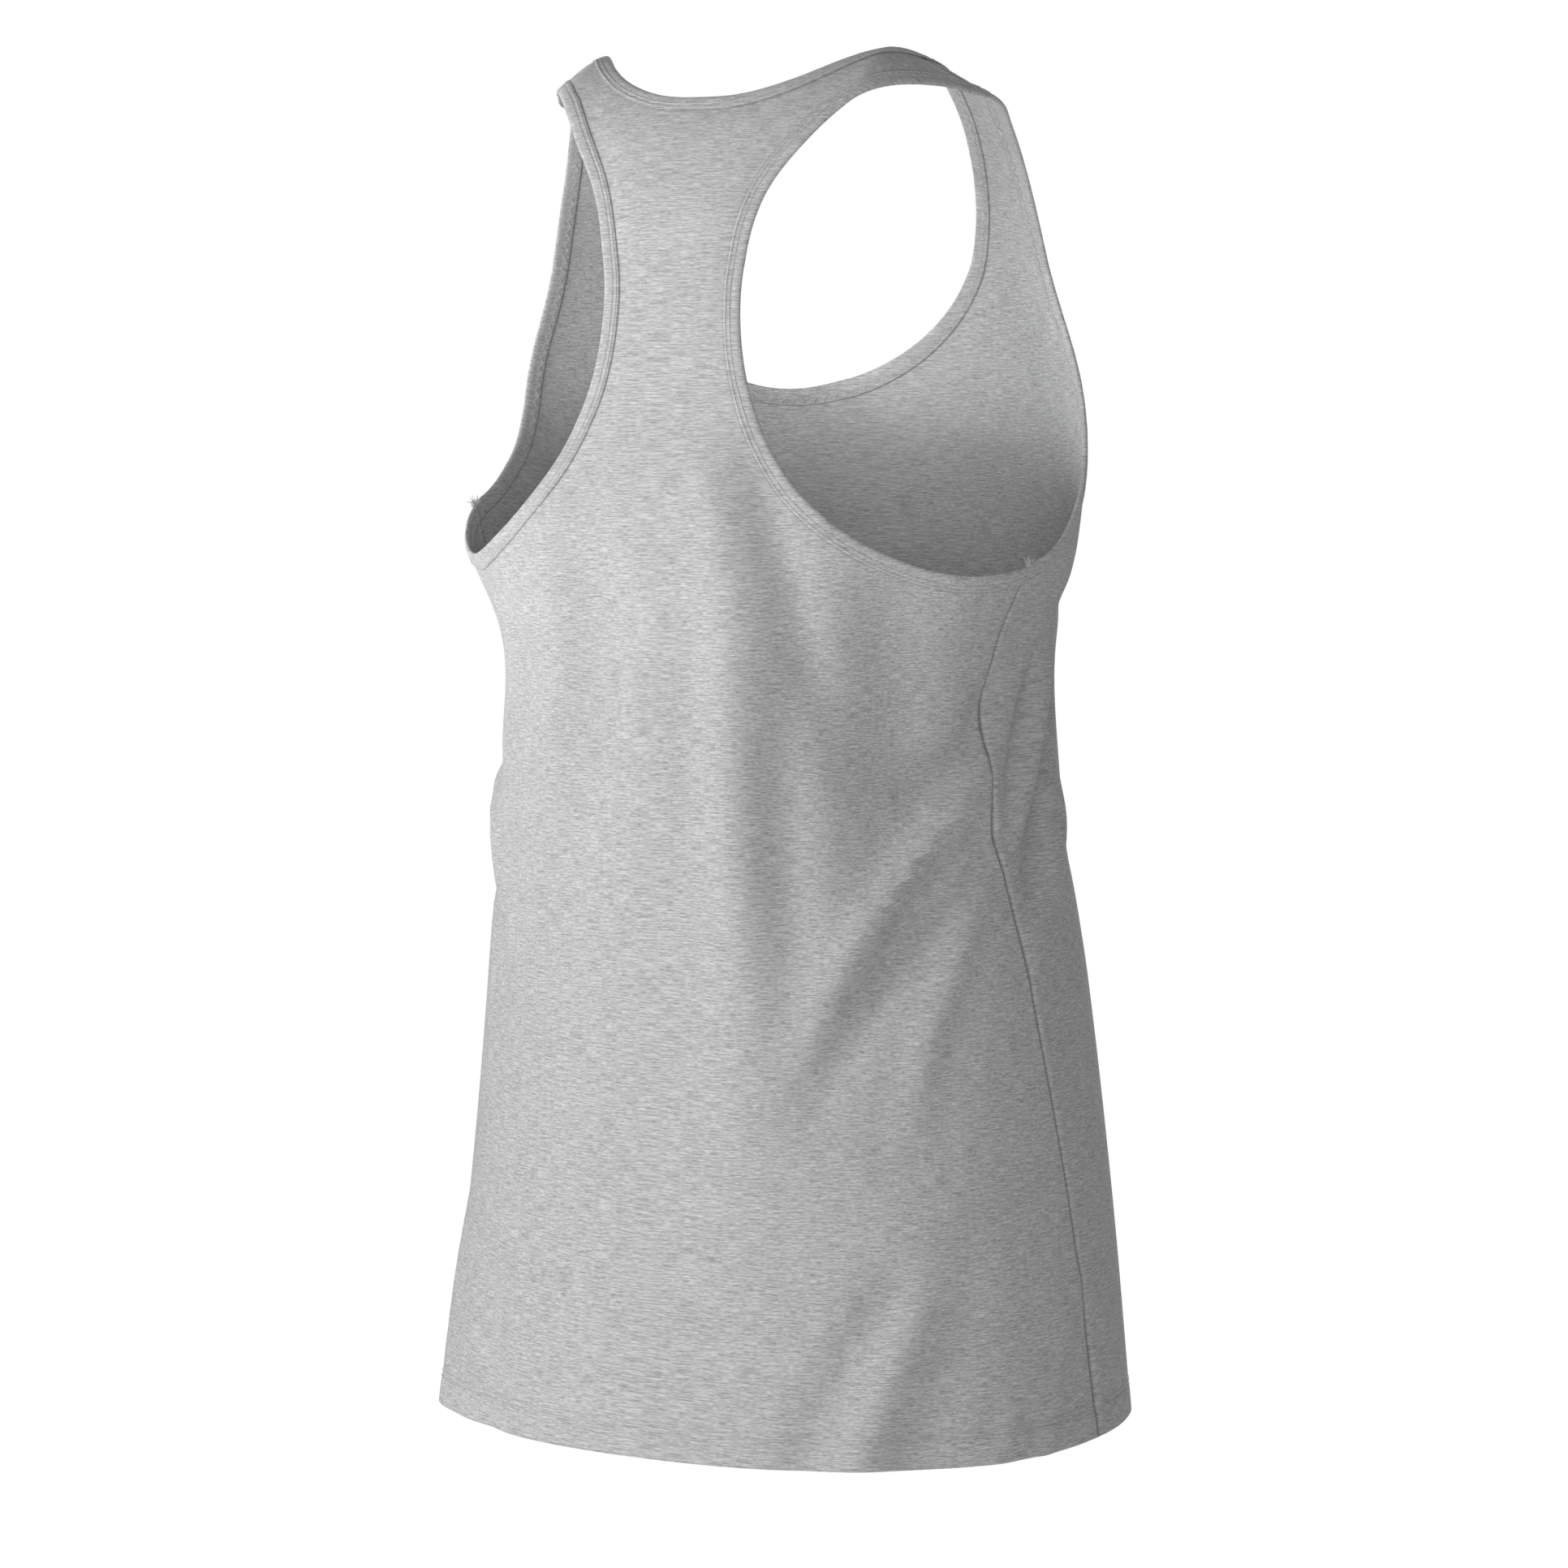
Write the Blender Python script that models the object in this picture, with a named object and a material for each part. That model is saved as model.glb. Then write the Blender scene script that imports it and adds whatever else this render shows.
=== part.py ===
"""Racerback tank top, worn and filled out: two jersey panels and three folded bindings.

Metres, +Z up. The origin is midway between the two straps on the shoulder line.
The wearer's left is +X and the wearer's front is -Y.

Every point of the cloth has a place (u, v): v runs down from the shoulder line, negative
down the back and positive down the front, and u is the turn in degrees away from the
centre back or the centre front, positive to the wearer's left.
"""
import bpy
import numpy as np

# sizes, metres
LENGTH = 0.664            # shoulder line down to the folded hem
UNDERARM = 0.243          # shoulder line down to the armhole at the side seam
FRONT_NECK = 0.162        # down to the lowest point of the front neckline
BACK_NECK = 0.044         # along the cloth to the lowest point of the back neckline
NECK_HALF = 0.078         # centre to the neck edge on the shoulder line
SHOULDER = 0.100          # height over which the straps round over the shoulder
SLOPE = 0.70              # fall of the shoulder line outside the neck
SETBACK = 0.60            # how far the shoulder line runs forward outside the neck
WALL = 0.0010             # single jersey
GAP = 0.0003              # between pieces at a seam
BINDING_WIDTH = 0.0085
BINDING_WALL = 0.0022
HEM_DEPTH = 0.018
HEM_PITCH = 0.0013        # cloth centre to turned-up cloth centre
SQUARE = 0.9              # 1 is an oval round the body, less is squarer
STRAP_SLIDE = 5.2         # degrees the front straps have slid to the wearer's left
NECK_SLIDE = 9.5          # degrees more at the lowest point of the front neckline
UNDERARM_LIFT = 0.025     # how far the left underarm has ridden up

# level, half_width, back_y, front_y, side_y
RINGS = np.array([
    (-LENGTH,   0.172, 0.112, -0.182, -0.031),
    (-0.560,    0.162, 0.094, -0.174, -0.032),
    (-0.450,    0.149, 0.090, -0.168, -0.028),
    (-0.350,    0.136, 0.098, -0.156, -0.022),
    (-0.280,    0.136, 0.090, -0.152, -0.018),
    (-0.235,    0.154, 0.092, -0.142, -0.006),
    (-0.165,    0.168, 0.082, -0.096, -0.006),
    (-SHOULDER, 0.156, 0.077, -0.083, -0.006),
    (0.0,       0.150, 0.077, -0.083, -0.006),
])

# level, turn from the centre back
SIDE_SEAM = np.array([
    (-LENGTH, 91.0), (-0.560, 88.0), (-0.450, 83.0), (-0.350, 79.0),
    (-0.280, 81.0), (-UNDERARM, 86.0), (-0.200, 90.0),
])

# u, v of the folded edge of the armhole, from the back at the side seam, over the
# shoulder, to the front at the side seam; the first and last rows only steer the ends
ARMHOLE = np.array([
    (97.0, -0.232), (86.0, -UNDERARM), (73.0, -0.247), (57.0, -0.246), (34.0, -0.226),
    (22.0, -0.203), (13.5, -0.165), (11.5, -0.115), (14.5, -0.084), (23.0, -0.060),
    (32.0, -0.040), (43.0, -0.018), (50.5, 0.0), (53.5, 0.035), (59.0, 0.085),
    (64.0, 0.135), (70.0, 0.185), (77.0, 0.215), (85.0, 0.234), (94.0, UNDERARM), (107.0, 0.247),
])

# u, v of the folded edge of the neck, left half, from the centre back to the centre front
NECK = np.array([
    (-8.0, -0.042), (0.0, -BACK_NECK), (8.0, -0.042), (16.0, -0.034), (24.0, -0.018),
    (30.0, 0.0), (35.0, 0.030), (37.5, 0.060), (35.5, 0.092), (30.0, 0.115), (22.0, 0.137),
    (12.0, 0.154), (0.0, FRONT_NECK), (-12.0, 0.154),
])

# row number, part of the way up the inner rail and up the outer rail; the inner rail is
# the centre line then the neck edge, the outer rail is the side seam then the armhole
BACK_ROWS = np.array([
    (0, 0.0, 0.0), (11, 0.50, 1.0), (20, 0.69, 1.30), (27, 0.87, 1.53), (32, 1.0, 1.66), (42, 2.0, 2.0),
])
FRONT_ROWS = np.array([(0, 0.0, 0.0), (11, 0.66, 1.0), (19, 1.0, 1.30), (36, 2.0, 2.0)])
COLUMNS = 10              # from the centre line to the side


def through(table, at):
    """Smooth curve through the rows of a table, first column against the others."""
    knot, value = table[:, 0], table[:, 1:]
    at = np.clip(np.asarray(at, float), knot[0], knot[-1])
    step = np.diff(knot)
    rise = np.diff(value, axis=0) / step[:, None]
    slope = np.vstack([rise[:1], rise[:1], rise[1:]])
    slope[1:-1] = (rise[:-1] * step[1:, None] + rise[1:] * step[:-1, None]) / (step[1:] + step[:-1])[:, None]
    slope[-1] = rise[-1]
    i = np.clip(np.searchsorted(knot, at, side="right") - 1, 0, len(knot) - 2)
    h = step[i][..., None]
    t = ((at - knot[i]) / step[i])[..., None]
    return ((2 * t**3 - 3 * t**2 + 1) * value[i] + (t**3 - 2 * t**2 + t) * h * slope[i]
            + (3 * t**2 - 2 * t**3) * value[i + 1] + (t**3 - t**2) * h * slope[i + 1])


def cloth(u, v):
    """Place of the middle of the cloth at (u, v)."""
    u, v = np.broadcast_arrays(np.asarray(u, float), np.asarray(v, float))
    level = -np.abs(v)
    ring = through(RINGS, level.ravel()).reshape(level.shape + (4,))
    half, back, front, side = np.moveaxis(ring, -1, 0)
    turn = np.radians(u)
    reach = np.where(v <= 0, back - side, front - side)
    lap = np.sign(np.cos(turn))
    reach = np.where(lap < 0, np.where(v <= 0, front - side, back - side), reach)
    x = half * np.sign(u) * np.abs(np.sin(turn)) ** SQUARE
    y = side + reach * np.abs(np.cos(turn)) ** SQUARE
    roll = np.clip((level + SHOULDER) / SHOULDER, 0, 1) * np.pi / 2
    out = np.maximum(np.abs(x) - NECK_HALF, 0)
    out = out**2 / (out + 0.01)
    z = np.where(level > -SHOULDER, -SHOULDER + (SHOULDER - SLOPE * out) * np.sin(roll), level)
    y = np.where(level > -SHOULDER, y * np.cos(roll) - SETBACK * out * (1 - np.cos(roll)), y)
    return np.stack([x, y, z], -1)


def worn(u, v):
    """Place of the cloth once it has slid askew: the front to the left, the left underarm up."""
    u, v = np.broadcast_arrays(np.asarray(u, float), np.asarray(v, float))
    fade = np.clip(v / 0.04, 0, 1)
    straps = STRAP_SLIDE * np.exp(-((u / 85) ** 4) - ((v - 0.065) / 0.055) ** 2)
    neckline = NECK_SLIDE * np.exp(-((u / 45) ** 2) - ((v - 0.155) / 0.055) ** 2)
    turn = np.where(v <= 0, u, 180 - u)
    lift = UNDERARM_LIFT * np.exp(-(((turn - 93) / 28) ** 2) - ((np.abs(v) - 0.24) / 0.07) ** 2)
    return cloth(u + fade**2 * (3 - 2 * fade) * (straps + neckline), v - np.sign(v) * lift)


def slopes(u, v, form=cloth):
    """How the cloth moves for a small step of u and of v."""
    du, dv = 0.05, 0.0002
    along_u = (form(u + du, v) - form(u - du, v)) / (2 * du)
    along_v = (form(u, v + dv) - form(u, v - dv)) / (2 * dv)
    return along_u, along_v


def outward(u, v, form=worn):
    """Unit normal of the cloth, away from the body."""
    along_u, along_v = slopes(u, v, form)
    n = np.cross(along_v, along_u)
    return n / np.linalg.norm(n, axis=-1, keepdims=True)


def edge(points, t):
    """Points and direction on a smooth (u, v) curve, t in metres from its first row."""
    places = cloth(points[:, 0], points[:, 1])
    knot = np.r_[0, np.cumsum(np.linalg.norm(np.diff(places, axis=0), axis=1))]
    table = np.column_stack([knot, points])
    step = 0.0005
    return through(table, t), through(table, t + step) - through(table, t - step)


def ends(points):
    """t of the second and the last but one row of a curve, where the edge begins and closes."""
    places = cloth(points[:, 0], points[:, 1])
    knot = np.r_[0, np.cumsum(np.linalg.norm(np.diff(places, axis=0), axis=1))]
    return knot[1], knot[-2]


def inset(uv, way, width):
    """Move (u, v) points sideways over the cloth, to the right of the way they run."""
    along_u, along_v = slopes(uv[:, 0], uv[:, 1])
    ahead = along_u * way[:, :1] + along_v * way[:, 1:]
    aside = np.cross(ahead, np.cross(along_v, along_u))
    aside /= np.linalg.norm(aside, axis=1, keepdims=True)
    uu, uw, ww = (np.sum(a * b, 1) for a, b in ((along_u, along_u), (along_u, along_v), (along_v, along_v)))
    pu, pv = np.sum(along_u * aside, 1), np.sum(along_v * aside, 1)
    det = uu * ww - uw**2
    return uv + width * np.column_stack([(ww * pu - uw * pv) / det, (uu * pv - uw * pu) / det])


def run_of(uv):
    """Part of the way along a (u, v) line, 0 to 1, at each of its points."""
    run = np.linalg.norm(np.diff(cloth(uv[:, 0], uv[:, 1]), axis=0), axis=1)
    return np.r_[0, np.cumsum(run)] / run.sum()


def side_turn(level, side):
    """Turn of a panel's side edge, half a gap short of the side seam."""
    turn = through(SIDE_SEAM, level)[..., 0]
    return (turn if side < 0 else 180 - turn) - 0.057


def bound_run(points, into, side):
    """Stretch of a bound edge that one panel meets, from its low end to the shoulder line."""
    start, close = ends(points)
    t = np.linspace(start - 0.02, close + 0.02, 3001)
    if into < 0:
        t = np.linspace(start, close, 3001)
    uv = inset(*edge(points, t), into * (BINDING_WIDTH + GAP))
    inside = uv[:, 1] * side > GAP / 2.4
    inside &= uv[:, 0] < side_turn(-np.abs(uv[:, 1]), side)
    t, uv = t[inside][::-side], uv[inside][::-side]
    return t, run_of(uv), uv[0]


def rail(line, points, into, side, part):
    """Points on a rail at the given parts of the way: 0 to 1 a plain line, 1 to 2 a bound edge."""
    t, run, low = bound_run(points, into, side)
    level = np.linspace(HEM_PITCH / 2 - LENGTH, -abs(low[1]), 300)
    turn = side_turn(level, side) if line == "side" else np.zeros(300)
    plain = np.column_stack([turn, -level * side])
    at = np.clip(part, 0, 1)
    done = run_of(plain)
    lower = np.column_stack([np.interp(at, done, plain[:, 0]), np.interp(at, done, plain[:, 1])])
    at = np.interp(np.clip(part - 1, 0, 1), run, t)
    upper = inset(*edge(points, at), into * (BINDING_WIDTH + GAP))
    return np.where((part > 1)[:, None], upper, lower)


def stations(points, into, column):
    """t of every panel row that ends on a bound edge, so the binding follows the same steps."""
    start, close = ends(points)
    found = [start]
    for side, table in ((-1, BACK_ROWS), (1, FRONT_ROWS)):
        part = through(table, np.arange(table[-1, 0]))[:, column]
        t, run, low = bound_run(points, into, side)
        found += sorted(np.interp(part[part > 1.001] - 1, run, t))
        if side < 0:
            found.append(shoulder(points, into))
    return np.array(found + [close])


def shoulder(points, into):
    """t where a bound edge crosses the shoulder line."""
    t = np.linspace(*ends(points), 3001)
    uv = inset(*edge(points, t), into * (BINDING_WIDTH + GAP))
    return np.interp(0.0, uv[:, 1], t)


def half_panel(side, table, hand):
    """Middle of the cloth and its normals over one half of a panel, hem rows first."""
    rows = np.arange(int(table[-1, 0]) + 1)
    ways = through(table, rows)
    a = rail("centre", NECK, -1, side, ways[:, 0])
    b = rail("side", ARMHOLE, 1, side, ways[:, 1])
    r = np.linspace(0, 1, COLUMNS + 1)[None, :, None]
    uv = a[:, None] + r * (b - a)[:, None]
    places, normals = worn(uv[..., 0] * hand, uv[..., 1]), outward(uv[..., 0] * hand, uv[..., 1])
    fold, radius = [], HEM_PITCH / 2
    for rise, angle in ((HEM_DEPTH, 180), (HEM_DEPTH / 2, 180), (radius, 180),
                        (radius, 135), (radius, 90), (radius, 45)):
        v = np.full(COLUMNS + 1, (LENGTH - rise) * side)
        u = r[0, :, 0] * side_turn(np.array([rise - LENGTH]), side) * hand
        n = outward(u, v)
        down = slopes(u, v)[1] * side
        down /= np.linalg.norm(down, axis=1, keepdims=True)
        c, s = np.cos(np.radians(angle)), np.sin(np.radians(angle))
        face = c * n + s * down
        fold.append((worn(u, v) - radius * n + radius * face, face))
    places = np.concatenate([np.array([f[0] for f in fold]), places])
    normals = np.concatenate([np.array([f[1] for f in fold]), normals])
    corner = len(fold) + int(table[np.argmin(np.abs(table[:, 1] - 1)), 0])
    return places, normals, corner


def panel(name, side, table, look):
    """One cut piece: both halves joined on the centre line up to the neck."""
    middle, face_way, number = [], [], {}
    for hand in (1, -1):
        places, normals, corner = half_panel(side, table, hand)
        rows, columns = places.shape[:2]
        for j in range(rows):
            for i in range(columns):
                if hand < 0 and i == 0 and j <= corner:
                    number[hand, j, i] = number[1, j, i]
                    continue
                number[hand, j, i] = len(middle)
                middle.append(places[j, i])
                face_way.append(normals[j, i])
    quads = []
    for hand in (1, -1):
        for j in range(rows - 1):
            for i in range(columns - 1):
                q = [number[hand, j, i], number[hand, j, i + 1], number[hand, j + 1, i + 1], number[hand, j + 1, i]]
                quads.append(q if hand * side > 0 else q[::-1])
    return shell(name, np.array(middle), np.array(face_way), quads, look)


def shell(name, middle, normals, quads, look):
    """Closed wall: the sheet moved half a wall each way and joined round its edges."""
    count = len(middle)
    verts = np.vstack([middle + normals * WALL / 2, middle - normals * WALL / 2])
    faces = [tuple(q) for q in quads] + [tuple(i + count for i in q[::-1]) for q in quads]
    once = {}
    for q in quads:
        for a, b in zip(q, q[1:] + q[:1]):
            if (b, a) in once:
                del once[b, a]
            else:
                once[a, b] = True
    faces += [(b, a, a + count, b + count) for a, b in once]
    return solid(name, verts, faces, look)


def binding(name, points, into, column, hand, look, mirrored=False):
    """Folded strip swept round a closed edge; mirrored runs on round the other half."""
    h = BINDING_WALL / 2
    section = ((BINDING_WIDTH, h), (0.0011, h), (0.0, 0.4 * h), (0.0, -0.4 * h), (0.0011, -h), (BINDING_WIDTH, -h))
    uv, way = edge(points, stations(points, into, column))
    rings = []
    for across, out in section:
        at = inset(uv, way, into * across) * (hand, 1)
        if mirrored:
            at[0, 0] = at[-1, 0] = 0.0
            at = np.concatenate([at, at[-2:0:-1] * (-1, 1)])
        else:
            at = at[:-1]
        rings.append(worn(at[:, 0], at[:, 1]) + out * outward(at[:, 0], at[:, 1]))
    rings = np.array(rings).transpose(1, 0, 2)
    turns, corners = rings.shape[:2]
    faces = []
    for j in range(turns):
        for i in range(corners):
            k, m = (j + 1) % turns, (i + 1) % corners
            faces.append((j * corners + i, k * corners + i, k * corners + m, j * corners + m))
    return solid(name, rings.reshape(-1, 3), faces, look)


def solid(name, verts, faces, look):
    """Named object with outward faces and its own material."""
    mesh = bpy.data.meshes.new(name)
    mesh.from_pydata([tuple(float(round(c, 7)) for c in v) for v in verts], [], faces)
    mesh.update()
    volume = sum(f.area * f.normal.dot(f.center) for f in mesh.polygons)
    if volume < 0:
        mesh.flip_normals()
    mesh.shade_smooth()
    mesh.set_sharp_from_angle(angle=np.radians(40))
    material = bpy.data.materials.new(name)
    material.use_nodes = True
    principled = material.node_tree.nodes["Principled BSDF"]
    principled.inputs["Base Color"].default_value = (*look, 1)
    principled.inputs["Roughness"].default_value = 0.92
    principled.inputs["Metallic"].default_value = 0.0
    mesh.materials.append(material)
    made = bpy.data.objects.new(name, mesh)
    bpy.context.collection.objects.link(made)
    return made


for old in list(bpy.data.objects):
    bpy.data.objects.remove(old)

HEATHER = (0.56, 0.56, 0.57)
RIM = (0.53, 0.53, 0.54)
panel("back_panel", -1, BACK_ROWS, HEATHER)
panel("front_panel", 1, FRONT_ROWS, HEATHER)
binding("neck_binding", NECK, -1, 0, 1, RIM, mirrored=True)
binding("armhole_binding_left", ARMHOLE, 1, 1, 1, RIM)
binding("armhole_binding_right", ARMHOLE, 1, 1, -1, RIM)
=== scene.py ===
import math

import bpy
import numpy as np
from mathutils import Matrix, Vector


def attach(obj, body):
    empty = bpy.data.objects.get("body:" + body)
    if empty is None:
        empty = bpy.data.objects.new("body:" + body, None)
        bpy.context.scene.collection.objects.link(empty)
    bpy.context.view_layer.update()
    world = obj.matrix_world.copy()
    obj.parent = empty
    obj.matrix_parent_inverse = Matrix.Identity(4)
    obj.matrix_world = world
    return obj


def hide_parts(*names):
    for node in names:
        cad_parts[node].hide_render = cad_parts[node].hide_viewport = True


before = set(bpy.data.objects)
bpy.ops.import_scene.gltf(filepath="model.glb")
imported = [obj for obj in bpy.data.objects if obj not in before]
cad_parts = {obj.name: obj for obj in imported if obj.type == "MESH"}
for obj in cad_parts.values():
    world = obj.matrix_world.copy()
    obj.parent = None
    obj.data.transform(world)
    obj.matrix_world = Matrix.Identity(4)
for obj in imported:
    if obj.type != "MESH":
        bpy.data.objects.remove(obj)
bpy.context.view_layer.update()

# ---------------------------------------------------------------- back panel
# One cut of single jersey, narrow between the shoulder blades, its hem turned up inside.
# It hangs from the two straps, folds softly below the right blade and drags to the waist.

# Each place on the cloth is (u, v): v runs down from the shoulder line, negative down the
# back, and u is the turn in degrees from the centre back or front, positive to the left.
LENGTH = 0.664            # shoulder line down to the folded hem
UNDERARM = 0.243          # shoulder line down to the armhole at the side seam
FRONT_NECK = 0.162        # down to the lowest point of the front neckline
BACK_NECK = 0.044         # along the cloth to the lowest point of the back neckline
NECK_HALF = 0.078         # centre to the neck edge on the shoulder line
SHOULDER = 0.100          # height over which the straps round over the shoulder
SLOPE = 0.70              # fall of the shoulder line outside the neck
SETBACK = 0.60            # how far the shoulder line runs forward outside the neck
SQUARE = 0.9              # 1 is an oval round the body, less is squarer
STRAP_SLIDE = 5.2         # degrees the front straps have slid to the wearer's left
NECK_SLIDE = 9.5          # degrees more at the lowest point of the front neckline
UNDERARM_LIFT = 0.025     # how far the left underarm has ridden up
WALL = 0.0010             # single jersey
GAP = 0.0003              # between the panels at a seam
BINDING_WIDTH = 0.0085
TUCK = 0.0024             # panel edge held inside the folded binding
HEM_DEPTH = 0.018
HEM_PITCH = 0.0013        # cloth centre to turned-up cloth centre
HEM_ROWS = (0.0130, 0.0158)
HEM_STITCH_PITCH = 0.0028

# level, half_width, back_y, front_y, side_y
RINGS = np.array([
    (-LENGTH,   0.172, 0.112, -0.182, -0.031),
    (-0.560,    0.162, 0.094, -0.174, -0.032),
    (-0.450,    0.149, 0.090, -0.168, -0.028),
    (-0.350,    0.136, 0.098, -0.156, -0.022),
    (-0.280,    0.136, 0.090, -0.152, -0.018),
    (-0.235,    0.154, 0.092, -0.142, -0.006),
    (-0.165,    0.168, 0.082, -0.096, -0.006),
    (-SHOULDER, 0.156, 0.077, -0.083, -0.006),
    (0.0,       0.150, 0.077, -0.083, -0.006),
])

# level, turn from the centre back
SIDE_SEAM = np.array([
    (-LENGTH, 91.0), (-0.560, 88.0), (-0.450, 83.0), (-0.350, 79.0),
    (-0.280, 81.0), (-UNDERARM, 86.0), (-0.200, 90.0),
])

# u, v of the folded edge of the armhole, from the back at the side seam, over the
# shoulder, to the front at the side seam; the first and last rows only steer the ends
ARMHOLE = np.array([
    (97.0, -0.232), (86.0, -UNDERARM), (73.0, -0.247), (57.0, -0.246), (34.0, -0.226),
    (22.0, -0.203), (13.5, -0.165), (11.5, -0.115), (14.5, -0.084), (23.0, -0.060),
    (32.0, -0.040), (43.0, -0.018), (50.5, 0.0), (53.5, 0.035), (59.0, 0.085),
    (64.0, 0.135), (70.0, 0.185), (77.0, 0.215), (85.0, 0.234), (94.0, UNDERARM), (107.0, 0.247),
])

# u, v of the folded edge of the neck, left half, from the centre back to the centre front
NECK = np.array([
    (-8.0, -0.042), (0.0, -BACK_NECK), (8.0, -0.042), (16.0, -0.034), (24.0, -0.018),
    (30.0, 0.0), (35.0, 0.030), (37.5, 0.060), (35.5, 0.092), (30.0, 0.115), (22.0, 0.137),
    (12.0, 0.154), (0.0, FRONT_NECK), (-12.0, 0.154),
])

# row number, part of the way up the inner rail and up the outer rail; the inner rail is
# the centre line then the neck edge, the outer rail is the side seam then the armhole
BACK_ROWS = np.array([
    (0, 0.0, 0.0), (11, 0.50, 1.0), (20, 0.69, 1.30), (27, 0.87, 1.53), (32, 1.0, 1.66), (42, 2.0, 2.0),
])


def through(table, at):
    """Smooth curve through the rows of a table, first column against the others."""
    knot, value = table[:, 0], table[:, 1:]
    at = np.clip(np.asarray(at, float), knot[0], knot[-1])
    step = np.diff(knot)
    rise = np.diff(value, axis=0) / step[:, None]
    slope = np.vstack([rise[:1], rise[:1], rise[1:]])
    shared = rise[:-1] * step[1:, None] + rise[1:] * step[:-1, None]
    slope[1:-1] = shared / (step[1:] + step[:-1])[:, None]
    slope[-1] = rise[-1]
    i = np.clip(np.searchsorted(knot, at, side="right") - 1, 0, len(knot) - 2)
    h = step[i][..., None]
    t = ((at - knot[i]) / step[i])[..., None]
    return ((2 * t**3 - 3 * t**2 + 1) * value[i] + (t**3 - 2 * t**2 + t) * h * slope[i]
            + (3 * t**2 - 2 * t**3) * value[i + 1] + (t**3 - t**2) * h * slope[i + 1])


def smooth_form(u, v):
    """Place of the cloth at (u, v) before it creases."""
    u, v = np.broadcast_arrays(np.asarray(u, float), np.asarray(v, float))
    level = -np.abs(v)
    ring = through(RINGS, level.ravel()).reshape(level.shape + (4,))
    half, back, front, side = np.moveaxis(ring, -1, 0)
    turn = np.radians(u)
    reach = np.where(v <= 0, back - side, front - side)
    lap = np.sign(np.cos(turn))
    reach = np.where(lap < 0, np.where(v <= 0, front - side, back - side), reach)
    x = half * np.sign(u) * np.abs(np.sin(turn)) ** SQUARE
    y = side + reach * np.abs(np.cos(turn)) ** SQUARE
    roll = np.clip((level + SHOULDER) / SHOULDER, 0, 1) * np.pi / 2
    out = np.maximum(np.abs(x) - NECK_HALF, 0)
    out = out**2 / (out + 0.01)
    z = np.where(level > -SHOULDER, -SHOULDER + (SHOULDER - SLOPE * out) * np.sin(roll), level)
    y = np.where(level > -SHOULDER, y * np.cos(roll) - SETBACK * out * (1 - np.cos(roll)), y)
    return np.stack([x, y, z], -1)


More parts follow.
